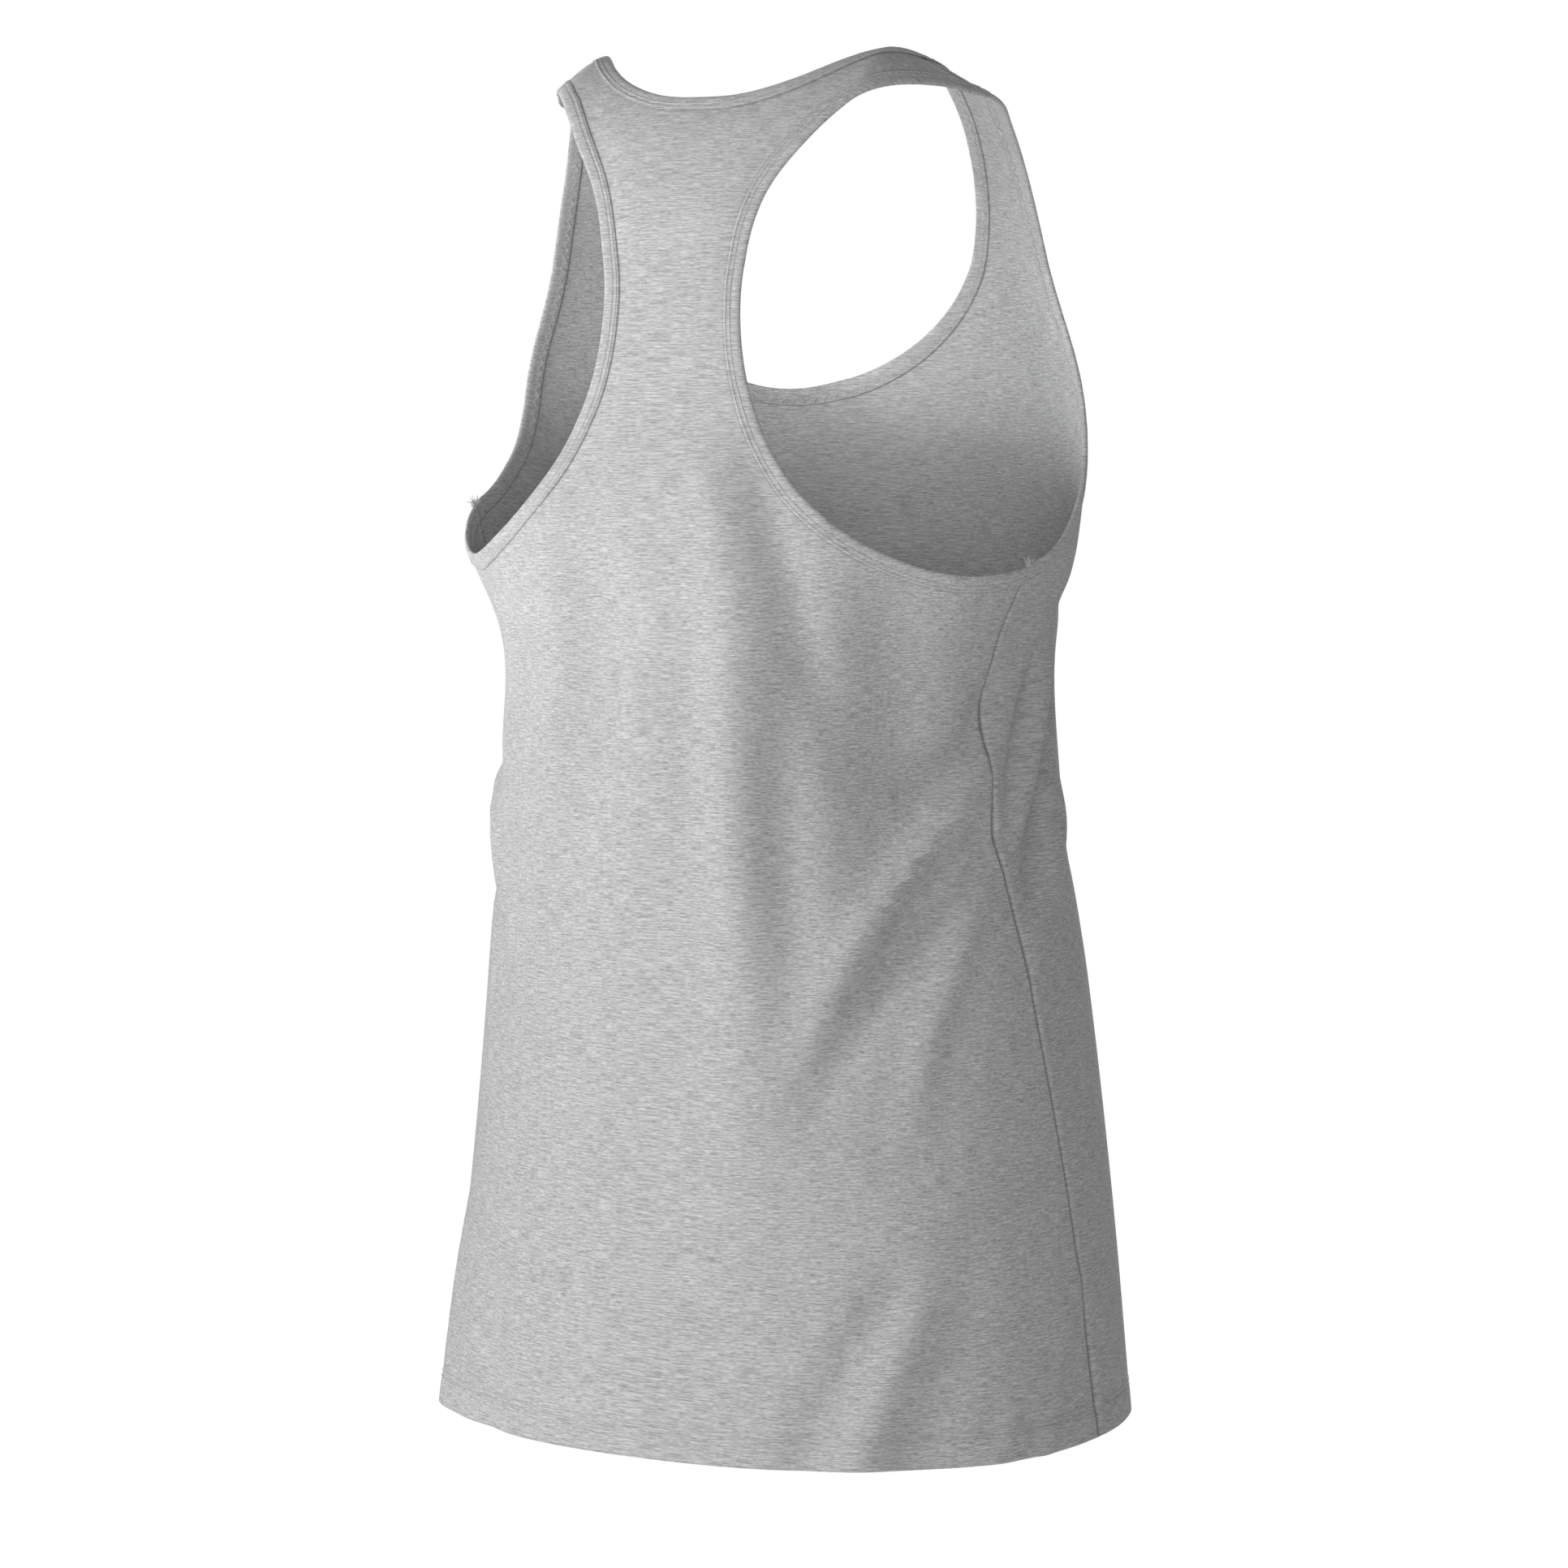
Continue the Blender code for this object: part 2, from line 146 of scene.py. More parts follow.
# turn from the centre back (positive to the wearer's left), level, height in mm, half width in mm
CREASES = {
    "blade_fall": ((-29, -.19, 0, 28), (-41, -.235, -5, 34), (-50, -.285, -10, 40),
        (-53, -.345, -11, 42), (-51, -.41, -8, 40), (-46, -.48, -4, 38), (-41, -.55, 0, 36)),
    "blade_ridge": ((-5, -.165, 0, 16), (-10, -.221, 5, 19), (-15, -.284, 7, 20),
        (-17, -.346, 8, 20), (-17, -.41, 7, 20), (-15, -.47, 5, 22), (-12, -.55, 2, 24),
        (-10, -.61, 0, 26)),
    "blade_trough": ((-13, -.185, 0, 9), (-18, -.212, -4, 11), (-24, -.245, -5, 13),
        (-30, -.283, -4, 15), (-37, -.315, -2, 17), (-44, -.34, 0, 18)),
    "fall_trough": ((-27, -.29, 0, 14), (-26, -.34, -3, 15), (-25, -.40, -4, 16),
        (-23, -.45, -2, 16), (-22, -.51, 0, 16)),
    "waist_trough_1": ((-84, -.292, 0, 9), (-79, -.309, -5, 10), (-73, -.330, -7, 11),
        (-63, -.344, -5, 12), (-52, -.352, 0, 13)),
    "waist_ridge_1": ((-81, -.330, 0, 9), (-72, -.350, 6, 10), (-57, -.377, 9, 10),
        (-44, -.409, 8, 11), (-35, -.437, 5, 12), (-27, -.470, 3, 13), (-21, -.515, 0, 14)),
    "waist_trough_2": ((-81, -.365, 0, 9), (-75, -.375, -5, 10), (-61, -.397, -8, 11),
        (-48, -.420, -9, 11), (-38, -.452, -7, 12), (-31, -.478, -5, 12), (-24, -.51, 0, 13)),
    "waist_ridge_2": ((-78, -.390, 0, 9), (-71, -.402, 4, 10), (-61, -.434, 5, 10),
        (-52, -.466, 4, 11), (-45, -.52, 0, 12)),
    "waist_trough_3": ((-76, -.395, 0, 8), (-72, -.41, -2, 9), (-64, -.447, -2, 10),
        (-57, -.48, -1, 10), (-52, -.53, 0, 12)),
    "side_ridge_1": ((-100, -.262, 0, 5), (-96, -.272, 2, 6), (-89, -.305, 2, 6),
        (-84, -.33, 0, 6)),
    "side_trough_1": ((-99, -.275, 0, 7), (-95, -.298, -5, 7), (-90, -.33, -6, 8),
        (-86, -.355, -4, 8), (-82, -.385, 0, 8)),
    "side_ridge_2": ((-107, -.278, 0, 6), (-103, -.297, 4, 6), (-96, -.326, 5, 7),
        (-90, -.352, 4, 7), (-85, -.38, 0, 7)),
    "side_trough_2": ((-112, -.29, 0, 8), (-108, -.316, -7, 9), (-99, -.355, -9, 9),
        (-91, -.384, -6, 9), (-86, -.42, 0, 10)),
    "side_ridge_3": ((-112, -.345, 0, 7), (-105, -.368, 5, 8), (-96, -.392, 6, 9),
        (-89, -.412, 4, 9), (-84, -.45, 0, 9)),
    "hem_trough_1": ((-45, -.565, 0, 10), (-41, -.587, -3, 11), (-34, -.616, -4, 12),
        (-28, -.648, -4, 12), (-26, -.69, -4, 12)),
    "hem_ridge_1": ((-50, -.58, 0, 8), (-46, -.599, 2, 9), (-40, -.634, 2.6, 10),
        (-37, -.66, 2.6, 11), (-36, -.69, 2.6, 11)),
    "hem_trough_2": ((-61, -.56, 0, 12), (-57, -.595, -3, 15), (-50, -.635, -4, 16),
        (-45, -.69, -4, 16)),
    "hem_ridge_2": ((-90, -.575, 0, 8), (-85, -.596, 2, 9), (-75, -.623, 3, 10),
        (-67, -.645, 3, 10), (-60, -.69, 3, 11)),
    "hem_ridge_3": ((-85, -.60, 0, 5), (-82, -.613, 1.5, 5), (-77, -.64, 2, 6), (-73, -.69, 2, 6)),
    "left_trough": ((11, -.21, 0, 13), (12, -.26, -2, 15), (13, -.30, -2, 15), (13, -.36, -2, 15),
        (19, -.40, -2, 15), (22, -.47, 0, 15)),
    "middle_ridge": ((3, -.19, 0, 12), (1, -.24, 2, 13), (0, -.30, 2, 13), (-1, -.36, 2, 13),
        (-1, -.43, 0, 13)),
    "left_ridge": ((20, -.19, 0, 13), (24, -.26, 2, 14), (25, -.33, 2, 14), (28, -.40, 1, 14),
        (30, -.46, 0, 14)),
    "left_underarm": ((62, -.247, 0, 7), (51, -.258, -3, 8), (43, -.275, -3, 9), (38, -.30, -2, 10),
        (35, -.34, 0, 11)),
    "left_waist_trough": ((84, -.30, 0, 9), (76, -.325, -4, 11), (62, -.345, -4, 12),
        (48, -.365, 0, 14)),
    "left_waist_ridge": ((80, -.335, 0, 9), (68, -.352, 4, 11), (54, -.378, 4, 13),
        (43, -.41, 3, 13), (35, -.45, 0, 14)),
    "left_waist_trough_2": ((82, -.37, 0, 9), (70, -.384, -4, 11), (57, -.405, -4, 12),
        (46, -.44, -3, 13), (38, -.49, 0, 14)),
    "left_side_ridge": ((108, -.29, 0, 7), (102, -.31, 3, 7), (94, -.34, 3, 8), (86, -.38, 0, 8)),
    "left_side_trough": ((112, -.30, 0, 8), (107, -.33, -4, 9), (98, -.365, -5, 10),
        (88, -.41, 0, 10)),
    "left_hem_trough": ((40, -.57, 0, 12), (36, -.61, -3, 14), (33, -.65, -4, 14),
        (32, -.69, -4, 14)),
    "left_hem_ridge": ((62, -.56, 0, 12), (58, -.60, 3, 14), (54, -.65, 4, 14), (52, -.69, 4, 14)),
    "left_hem_trough_2": ((84, -.59, 0, 10), (78, -.62, -2, 12), (73, -.65, -3, 12),
        (70, -.69, -3, 12)),
    "front_fall_left": ((152, -.25, 0, 20), (150, -.33, 4, 22), (147, -.42, 5, 22),
        (146, -.52, 5, 24), (145, -.62, 5, 24), (144, -.69, 5, 24)),
    "front_fall_right": ((-149, -.26, 0, 20), (-150, -.34, 4, 20), (-152, -.43, 5, 22),
        (-151, -.53, 4, 24), (-149, -.62, 5, 24), (-148, -.69, 5, 24)),
    "front_hollow": ((176, -.27, 0, 22), (178, -.35, -3, 26), (181, -.45, -4, 28),
        (179, -.57, -4, 28), (178, -.69, -5, 28)),
    "front_side_hollow_left": ((124, -.33, 0, 14), (126, -.42, -3, 18), (127, -.52, -4, 20),
        (125, -.69, -4, 20)),
    "front_side_hollow_right": ((-128, -.31, 0, 14), (-127, -.40, -3, 16), (-129, -.50, -4, 18),
        (-128, -.60, -3, 20), (-126, -.69, -4, 20)),
    "bust_drag_left": ((104, -.262, 0, 7), (114, -.258, -2, 8), (127, -.252, -2, 9),
        (139, -.245, 0, 10)),
    "bust_drag_right": ((-104, -.268, 0, 7), (-115, -.264, -2, 8), (-126, -.262, -2, 9),
        (-137, -.256, 0, 10)),
    "bust_drag_low_left": ((102, -.29, 0, 8), (114, -.287, 2, 9), (128, -.283, 2, 10),
        (142, -.276, 0, 11)),
    "front_waist_left": ((96, -.35, 0, 9), (108, -.362, -3, 10), (122, -.385, -3, 11),
        (134, -.42, 0, 12)),
    "front_waist_right": ((-112, -.38, 0, 9), (-120, -.392, -2, 10), (-130, -.41, -3, 11),
        (-139, -.45, 0, 12)),
    "back_strap_left": ((8, -.13, 0, 8), (10, -.10, -1, 8), (15, -.075, -1.2, 8),
        (22, -.055, 0, 8)),
    "back_strap_right": ((-7, -.14, 0, 8), (-10, -.11, -1, 8), (-14, -.08, -1.4, 8),
        (-21, -.055, 0, 8)),
}
METRES_PER_DEGREE = 0.0026


def crease_height(u, v):
    """How far the creases lift the cloth off its smooth form, metres."""
    turn = np.where(v <= 0, u, np.where(u >= 0, 180 - u, -180 - u))
    level = -np.abs(v)
    total = np.zeros(turn.shape)
    for path in CREASES.values():
        rows = np.array(path, float)
        numbered = np.column_stack([np.arange(len(rows)), rows])
        rows = through(numbered, np.linspace(0, len(rows) - 1, 5 * len(rows)))
        reach = 3 * rows[:, 3].max() / 1000
        middle = rows[:, 0].mean()
        aside = np.abs((turn - middle + 180) % 360 - 180) - np.abs(rows[:, 0] - middle).max()
        near = (level > rows[:, 1].min() - reach) & (level < rows[:, 1].max() + reach)
        near &= aside * METRES_PER_DEGREE < reach
        here_turn, here_level = turn[near], level[near]
        nearest = np.full(here_turn.shape, 1e9)
        lift = np.zeros(here_turn.shape)
        for (t0, l0, h0, w0), (t1, l1, h1, w1) in zip(rows[:-1], rows[1:]):
            px = ((here_turn - t0 + 180) % 360 - 180) * METRES_PER_DEGREE
            py = here_level - l0
            dx, dy = (t1 - t0) * METRES_PER_DEGREE, l1 - l0
            s = np.clip((px * dx + py * dy) / (dx * dx + dy * dy), 0, 1)
            gap = (px - s * dx) ** 2 + (py - s * dy) ** 2
            width = (w0 + s * (w1 - w0)) / 1000
            closer = gap < nearest
            nearest = np.where(closer, gap, nearest)
            lift = np.where(closer, (h0 + s * (h1 - h0)) / 1000 * np.exp(-gap / width**2), lift)
        total[near] += lift
    return total


def slopes(u, v, form=smooth_form):
    """How the cloth moves for a small step of u and of v."""
    du, dv = 0.05, 0.0002
    along_u = (form(u + du, v) - form(u - du, v)) / (2 * du)
    along_v = (form(u, v + dv) - form(u, v - dv)) / (2 * dv)
    return along_u, along_v


def outward(u, v, form=smooth_form):
    """Unit normal of the cloth, away from the body."""
    along_u, along_v = slopes(u, v, form)
    n = np.cross(along_v, along_u)
    return n / np.linalg.norm(n, axis=-1, keepdims=True)


def askew(u, v):
    """Where the cloth at (u, v) has slid to: the front to the left, the left underarm up."""
    fade = np.clip(v / 0.04, 0, 1)
    straps = STRAP_SLIDE * np.exp(-((u / 85) ** 4) - ((v - 0.065) / 0.055) ** 2)
    neckline = NECK_SLIDE * np.exp(-((u / 45) ** 2) - ((v - 0.155) / 0.055) ** 2)
    turn = np.where(v <= 0, u, 180 - u)
    lift = UNDERARM_LIFT * np.exp(-(((turn - 93) / 28) ** 2) - ((np.abs(v) - 0.24) / 0.07) ** 2)
    return u + fade**2 * (3 - 2 * fade) * (straps + neckline), v - np.sign(v) * lift


def worn(u, v):
    """Place of the cloth as it hangs, slid askew, creases and all."""
    u, v = askew(*np.broadcast_arrays(np.asarray(u, float), np.asarray(v, float)))
    return smooth_form(u, v) + outward(u, v) * crease_height(u, v)[..., None]


def edge(points, t):
    """Points and direction on a smooth (u, v) curve, t in metres from its first row."""
    places = smooth_form(points[:, 0], points[:, 1])
    knot = np.r_[0, np.cumsum(np.linalg.norm(np.diff(places, axis=0), axis=1))]
    table = np.column_stack([knot, points])
    step = 0.0005
    return through(table, t), through(table, t + step) - through(table, t - step)


def ends(points):
    """t of the second and the last but one row of a curve, where the edge begins and closes."""
    places = smooth_form(points[:, 0], points[:, 1])
    knot = np.r_[0, np.cumsum(np.linalg.norm(np.diff(places, axis=0), axis=1))]
    return knot[1], knot[-2]


def inset(uv, way, width):
    """Move (u, v) points sideways over the cloth, to the right of the way they run."""
    along_u, along_v = slopes(uv[:, 0], uv[:, 1])
    ahead = along_u * way[:, :1] + along_v * way[:, 1:]
    aside = np.cross(ahead, np.cross(along_v, along_u))
    aside /= np.linalg.norm(aside, axis=1, keepdims=True)
    uu, uw, ww = (np.sum(a * b, 1) for a, b in ((along_u, along_u), (along_u, along_v), (along_v, along_v)))
    pu, pv = np.sum(along_u * aside, 1), np.sum(along_v * aside, 1)
    det = uu * ww - uw**2
    return uv + width * np.column_stack([(ww * pu - uw * pv) / det, (uu * pv - uw * pu) / det])


def run_of(uv):
    """Part of the way along a (u, v) line, 0 to 1, at each of its points."""
    run = np.linalg.norm(np.diff(smooth_form(uv[:, 0], uv[:, 1]), axis=0), axis=1)
    return np.r_[0, np.cumsum(run)] / run.sum()


HALF_GAP_TURN = 0.057         # degrees, half a gap at the side seam
SHOULDER_STOP = GAP / 2.4     # v at which each panel stops short of the shoulder line


def side_turn(level, side):
    """Turn of a panel's side edge, half a gap short of the side seam."""
    turn = through(SIDE_SEAM, level)[..., 0]
    return (turn if side < 0 else 180 - turn) - HALF_GAP_TURN


def bound_run(points, into, side):
    """Stretch of a bound edge that one panel meets, from its low end to the shoulder line."""
    start, close = ends(points)
    t = np.linspace(start - 0.02, close + 0.02, 3001)
    if into < 0:
        t = np.linspace(start, close, 3001)
    uv = inset(*edge(points, t), into * (BINDING_WIDTH - TUCK))
    inside = uv[:, 1] * side > SHOULDER_STOP
    inside &= uv[:, 0] < side_turn(-np.abs(uv[:, 1]), side)
    t, uv = t[inside][::-side], uv[inside][::-side]
    return t, run_of(uv), uv[0]


def rail(line, points, into, side, part):
    """Points on a rail at the given parts of the way: 0 to 1 a plain line, 1 to 2 a bound edge."""
    t, run, low = bound_run(points, into, side)
    level = np.linspace(HEM_PITCH / 2 - LENGTH, -abs(low[1]), 300)
    turn = side_turn(level, side) if line == "side" else np.zeros(300)
    plain = np.column_stack([turn, -level * side])
    at = np.clip(part, 0, 1)
    done = run_of(plain)
    lower = np.column_stack([np.interp(at, done, plain[:, 0]), np.interp(at, done, plain[:, 1])])
    at = np.interp(np.clip(part - 1, 0, 1), run, t)
    upper = inset(*edge(points, at), into * (BINDING_WIDTH - TUCK))
    return np.where((part > 1)[:, None], upper, lower)


class Wire:
    """One shader value; sums written with it add their own Math nodes."""

    def __init__(self, tree, socket=None):
        self.tree, self.socket = tree, socket

    def node(self, kind, out=0, settings=None, sockets=None):
        made = self.tree.nodes.new(kind)
        for key, value in (settings or {}).items():
            setattr(made, key, value)
        for key, value in (sockets or {}).items():
            if isinstance(value, Wire):
                self.tree.links.new(value.socket, made.inputs[key])
            else:
                made.inputs[key].default_value = value
        return Wire(self.tree, made.outputs[out])

    def math(self, operation, a, b=0.0):
        return self.node("ShaderNodeMath", 0, {"operation": operation}, {0: a, 1: b})

    def into(self, socket):
        self.tree.links.new(self.socket, socket)

    def __add__(self, other):
        return self.math("ADD", self, other)

    def __mul__(self, other):
        return self.math("MULTIPLY", self, other)

    def __sub__(self, other):
        return self.math("SUBTRACT", self, other)

    def __rsub__(self, other):
        return self.math("SUBTRACT", other, self)

    __radd__, __rmul__ = __add__, __mul__


# The yarn is spun from light and dark grey cotton, so thin dull streaks run along the
# courses. Wales stand 0.75 mm apart as fine ribs, and a little lint lies over the face.
# Thin lines of painted shade darken the cloth in its seams, along each binding's sewn edges, in the needle
# holes and across the joins of the armhole strips.
WALE, COURSE = 0.00075, 0.00055
NEEDLE_ROWS = (0.0021, 0.0044)      # metres in from a binding's seam, round its section


def jersey(name, dark, light, strip=None):
    """Heather jersey; the uv map 'cloth' is in metres, x along the courses and y along the wales.

    strip is a binding's (distance round it, length of one stitch, strength of the painted shade across the
    join where its ends meet), for the painted shade on its uv map 'strip', x round its section and y along
    it.
    """
    made = bpy.data.materials.new(name)
    made.use_nodes = True
    tree = made.node_tree
    surface = tree.nodes["Principled BSDF"]
    start = Wire(tree)
    place = start.node("ShaderNodeUVMap", 0, {"uv_map": "cloth"})

    def streaks(along, across, detail, shift):
        spot = start.node("ShaderNodeMapping", 0, None, {
            "Vector": place, "Location": (shift, shift * 1.7, 0), "Scale": (1 / along, 1 / across, 1)})
        return start.node("ShaderNodeTexNoise", 0, {"noise_dimensions": "2D"},
                          {"Vector": spot, "Scale": 1.0, "Detail": detail, "Roughness": 0.6})

    fine = streaks(0.0030, 0.00050, 2.0, 0.3)
    long = streaks(0.0100, 0.00065, 1.0, 7.1)
    broad = streaks(0.0500, 0.01400, 2.0, 3.7)
    lint = streaks(0.0016, 0.0009, 3.0, 11.0)
    mixed = (fine - 0.5) * 1.22 + (long - 0.5) * 1.05 + (broad - 0.5) * 0.18 + (lint - 0.5) * 0.12 + 0.5
    shade = start.node("ShaderNodeMapRange", 0, {"clamp": True}, {
        "Value": mixed, "From Min": 0.12, "From Max": 0.88, "To Min": 0.0, "To Max": 1.0})
    yarn = start.node("ShaderNodeMix", 2, {"data_type": "RGBA"}, {0: shade, 6: (*dark, 1), 7: (*light, 1)})
    x = start.node("ShaderNodeSeparateXYZ", 0, None, {0: place})
    y = start.node("ShaderNodeSeparateXYZ", 1, None, {0: place})

    def fades(value, full, gone):
        """1 where value is at full, falling smoothly to 0 where it is gone."""
        return start.node("ShaderNodeMapRange", 0, {"interpolation_type": "SMOOTHSTEP"}, {
            "Value": value, "From Min": full, "From Max": gone, "To Min": 1.0, "To Max": 0.0})

    if strip is None:
        # painted shade along the side and shoulder seams, read from the panel's 'seam' attribute
        painted_shade = start.node("ShaderNodeAttribute", 2, {"attribute_name": "seam"}) * 0.50
    else:
        round_it, pitch, join = strip
        sewn = start.node("ShaderNodeUVMap", 0, {"uv_map": "strip"})
        across = start.node("ShaderNodeSeparateXYZ", 0, None, {0: sewn})
        along = start.node("ShaderNodeSeparateXYZ", 1, None, {0: sewn})
        # painted shade along both sewn edges of the strip, and across the join of its ends
        painted_shade = (fades(across, 0.0002, 0.0011) + fades(across, round_it - 0.0002, round_it - 0.0011)) * 0.50
        painted_shade = painted_shade + fades(along, 0.0004, 0.0014) * join
        # painted shade in the needle holes at each stitch end along both needle rows
        stitch_end = fades(start.math("PINGPONG", along, pitch / 2), 0.0002, 0.0007)
        for row in NEEDLE_ROWS:
            painted_shade = painted_shade + fades(start.math("ABSOLUTE", across - row), 0.00010, 0.00045) * stitch_end * 0.36
    # colour of the painted shade: the dark yarn at 30 percent
    shadow = (dark[0] * 0.30, dark[1] * 0.30, dark[2] * 0.30, 1)
    start.node("ShaderNodeMix", 2, {"data_type": "RGBA"}, {
        0: painted_shade, 6: yarn, 7: shadow}).into(surface.inputs["Base Color"])
    rib = start.math("PINGPONG", x * (1 / WALE), 0.5)
    loop = start.math("SINE", (y * (1 / COURSE) + rib * 1.2) * (2 * math.pi))
    start.node("ShaderNodeBump", 0, None, {
        "Height": rib * 0.9 + loop * 0.22 + lint * 0.9, "Strength": 0.5,
        "Distance": 0.00022}).into(surface.inputs["Normal"])
    surface.inputs["Roughness"].default_value = 0.95
    surface.inputs["Specular IOR Level"].default_value = 0.25
    surface.inputs["Sheen Weight"].default_value = 0.2
    surface.inputs["Sheen Roughness"].default_value = 0.45
    surface.inputs["Sheen Tint"].default_value = (0.9, 0.9, 0.92, 1)
    return made


YARN_DARK, YARN_LIGHT = (0.345, 0.345, 0.347), (0.70, 0.70, 0.702)
body_jersey = jersey("heather_jersey", YARN_DARK, YARN_LIGHT)


def scallop(distance, pitch, seed):
    """Uneven rise and fall of sewn cloth along a seam, between -1 and 1."""
    rng = np.random.default_rng(seed)
    phase = rng.uniform(0, 2 * np.pi, 3)
    return (0.5 * np.sin(2 * np.pi * distance / (4.3 * pitch) + phase[0])
            + 0.3 * np.sin(2 * np.pi * distance / (2.6 * pitch) + phase[1])
            + 0.2 * np.sin(2 * np.pi * distance / (9.1 * pitch) + phase[2]))


HEM_RADIUS, SEAM_RADIUS = 0.16, 0.15      # of the turn of the cloth at the hem and at the side
SEAM_TOP = 0.02 - UNDERARM                # the side seam's groove starts below this level


def seam_relief(u, v, side, seed):
    """How far sewing draws the cloth in or pads it out: side seam, shoulder seam and hem."""
    level = -np.abs(v)
    run = np.radians(np.abs(u)) * HEM_RADIUS
    to_seam = np.radians(np.maximum(side_turn(level, side) - np.abs(u), 0)) * SEAM_RADIUS
    beside_seam = np.where(level < SEAM_TOP, np.exp(-((to_seam / 0.0011) ** 2)), 0)
    # drawn in at the side seam, padded out beside it, and drawn in at the shoulder seam
    rise = -0.0010 * beside_seam
    rise += 0.00025 * np.exp(-(((to_seam - 0.0035) / 0.002) ** 2)) * (level < SEAM_TOP)
    rise -= 0.0008 * np.exp(-((v / 0.0012) ** 2))
    # sunk along both hem rows, padded out below them, and scalloped round about them
    up = LENGTH - np.abs(v)
    for row in HEM_ROWS:
        rise -= 0.00030 * np.exp(-(((up - row) / 0.0007) ** 2))
    rise += 0.00035 / (1 + np.exp(np.minimum((up - 0.0122) / 0.0006, 60)))
    rise += 0.00030 * scallop(run, HEM_STITCH_PITCH, seed) * np.exp(-(((up - 0.015) / 0.007) ** 2))
    return rise


def painted_seam_shade(u, v, side):
    """Strength, 0 to 1, of the painted shade line along the side seam and the shoulder seam."""
    level = -np.abs(v)
    to_seam = np.radians(np.maximum(side_turn(level, side) - np.abs(u), 0)) * SEAM_RADIUS
    line = np.exp(-((to_seam / 0.0007) ** 2)) * (level < SEAM_TOP)
    return np.clip(line + np.exp(-((v / 0.0007) ** 2)), 0, 1)


CLOTH_RADIUS = 0.158
DOWN = np.linspace(-0.70, 0.70, 1401)
STRAP = np.linalg.norm(np.diff(smooth_form(np.full(1401, 30.0), DOWN), axis=0), axis=1)
DOWN_RUN = np.r_[0, np.cumsum(STRAP)]


def grain(u, v):
    """Place in the knit: metres along the courses and along the wales."""
    return np.stack([np.radians(u) * CLOTH_RADIUS, np.interp(v, DOWN, DOWN_RUN)], -1)


def rail_parts(table):
    """Parts of the way up the inner and the outer rail, close together at the hem."""
    return through(table, np.r_[np.linspace(0, 0.60, 26), np.linspace(0.60, table[-1, 0], 210)[1:]])


def half_panel(side, table, hand, seed):
    """Middle of the cloth, its normals, its grain and its painted seam shade over one half of a panel.

    The turned-up hem's rows come first, and the last value is how many they are.
    """
    ways = rail_parts(table)
    a = rail("centre", NECK, -1, side, ways[:, 0])
    b = rail("side", ARMHOLE, 1, side, ways[:, 1])
    r = np.r_[0, 0.006, np.linspace(0.014, 0.982, 60), 0.989, 0.994, 0.997, 0.9985, 1.0]
    uv = a[:, None] + r[None, :, None] * (b - a)[:, None]
    u, v = uv[..., 0] * hand, uv[..., 1]
    normals = outward(u, v, worn)
    places = worn(u, v) + normals * seam_relief(u, v, side, seed)[..., None]
    weave = grain(u, v)
    radius = HEM_PITCH / 2
    fold_places, fold_normals, fold_weave = [], [], []
    climb = [(rise, 180) for rise in np.linspace(HEM_DEPTH, radius, 10)]
    turned = [(radius, angle) for angle in (150, 120, 90, 60, 30)]
    for rise, angle in climb + turned:
        low = np.full(len(r), (LENGTH - rise) * side)
        turn = r * side_turn(np.array([rise - LENGTH]), side) * hand
        n = outward(turn, low, worn)
        down = slopes(turn, low)[1] * side
        down /= np.linalg.norm(down, axis=1, keepdims=True)
        face = np.cos(np.radians(angle)) * n + np.sin(np.radians(angle)) * down
        fold_places.append(worn(turn, low) - radius * n + radius * face)
        fold_normals.append(face)
        fold_weave.append(grain(turn, (LENGTH + rise) * side * np.ones(len(r))))
    shade = np.concatenate([np.zeros((len(fold_places), len(r))), painted_seam_shade(u, v, side)])
    return (np.concatenate([fold_places, places]), np.concatenate([fold_normals, normals]),
            np.concatenate([fold_weave, weave]), shade, len(fold_places))


def piece(name, verts, quads, maps, look, sharp=40):
    """Closed named mesh with its faces outward; maps gives each corner's place on each uv map."""
    a, b, c, d = (verts[quads[:, k]] for k in range(4))
    if np.sum(a * (np.cross(b, c) + np.cross(c, d))) < 0:
        quads = quads[:, ::-1]
        maps = {label: places[:, ::-1] for label, places in maps.items()}
    mesh = bpy.data.meshes.new(name)
    mesh.from_pydata(verts.tolist(), [], quads.tolist())
    for label, places in maps.items():
        mesh.uv_layers.new(name=label).data.foreach_set("uv", places.reshape(-1).astype(np.float32))
    mesh.update()
    mesh.shade_smooth()
    mesh.set_sharp_from_angle(angle=math.radians(sharp))
    mesh.materials.append(look)
    made = bpy.data.objects.new(name, mesh)
    bpy.context.scene.collection.objects.link(made)
    return made


